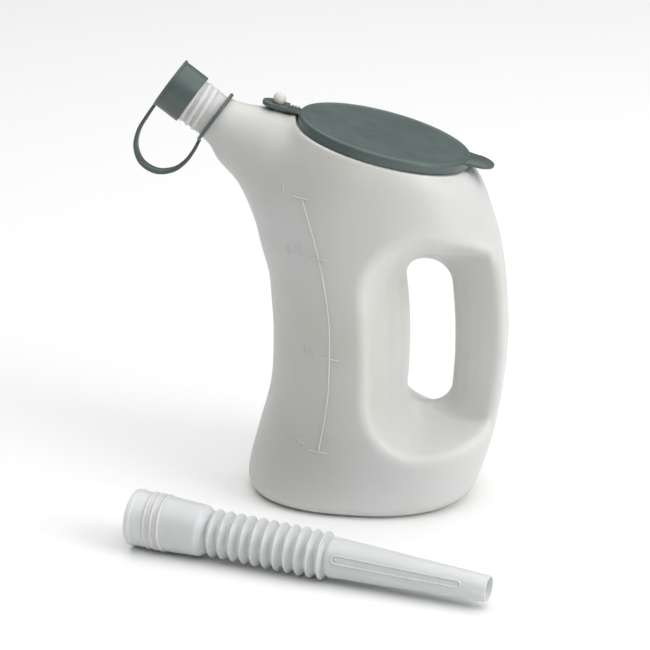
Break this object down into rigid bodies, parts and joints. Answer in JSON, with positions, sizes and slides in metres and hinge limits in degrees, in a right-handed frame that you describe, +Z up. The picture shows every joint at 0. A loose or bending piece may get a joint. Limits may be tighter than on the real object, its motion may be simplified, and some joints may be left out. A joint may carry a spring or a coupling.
{
  "type": "lidded measuring and pouring jug",
  "caption": "Translucent graduated pouring jug with a moulded-in handle, a hinged oval lid, a tethered cap on its outlet neck and a loose corrugated pouring spout.",
  "frame": {"origin": "middle of the jug's flat base, on the surface it stands on", "axes": "+Z up, -X towards the outlet neck, +X towards the handle, -Y the side with the graduation"},
  "size_m": [0.1933, 0.1796, 0.2221],
  "materials": {
    "natural_hdpe": "milky translucent, satin",
    "dark_polyethylene": "dark green-grey, satin",
    "clear_polyethylene": "translucent, satin"
  },
  "bodies": {
    "jug": {"jug_body": "natural_hdpe", "spout_neck": "natural_hdpe", "lid_stud": "natural_hdpe", "lid_strap": "dark_polyethylene", "lid_film_hinge": "dark_polyethylene"},
    "lid": {"lid": "dark_polyethylene"},
    "tether": {"tether_ring": "dark_polyethylene", "cap_tether": "dark_polyethylene"},
    "cap": {"spout_cap": "dark_polyethylene"},
    "spout": {"spout_collar": "clear_polyethylene", "spout_bellows": "clear_polyethylene"},
    "nozzle": {"spout_nozzle": "clear_polyethylene"}
  },
  "joints": [
    {"name": "lid_hinge", "type": "hinge", "parent": "jug", "child": "lid", "pos_m": [-0.03335, 0, 0.19859], "axis": [0, -1, 0], "range_deg": [0, 115], "deforming": ["lid_film_hinge"]},
    {"name": "cap_turn", "type": "hinge", "parent": "jug", "child": "tether", "pos_m": [-0.0727, 0, 0.194], "axis": [-0.8039, 0, 0.5948], "continuous": true},
    {"name": "cap_pull", "type": "slide", "parent": "tether", "child": "cap", "axis": [-0.8039, 0, 0.5948], "range_m": [0, 0.022], "deforming": ["cap_tether"]},
    {"name": "spout_lift", "type": "slide", "parent": "jug", "child": "spout", "axis": [0, 0, 1], "range_m": [0, 0.25]},
    {"name": "nozzle_bend", "type": "hinge", "parent": "spout", "child": "nozzle", "pos_m": [-0.029, -0.10188, 0.01247], "axis": [0.022, -0.0055, 0.9997], "range_deg": [-45, 45], "stiffness_Nm_per_rad": 0.02, "deforming": ["spout_bellows"]}
  ]
}
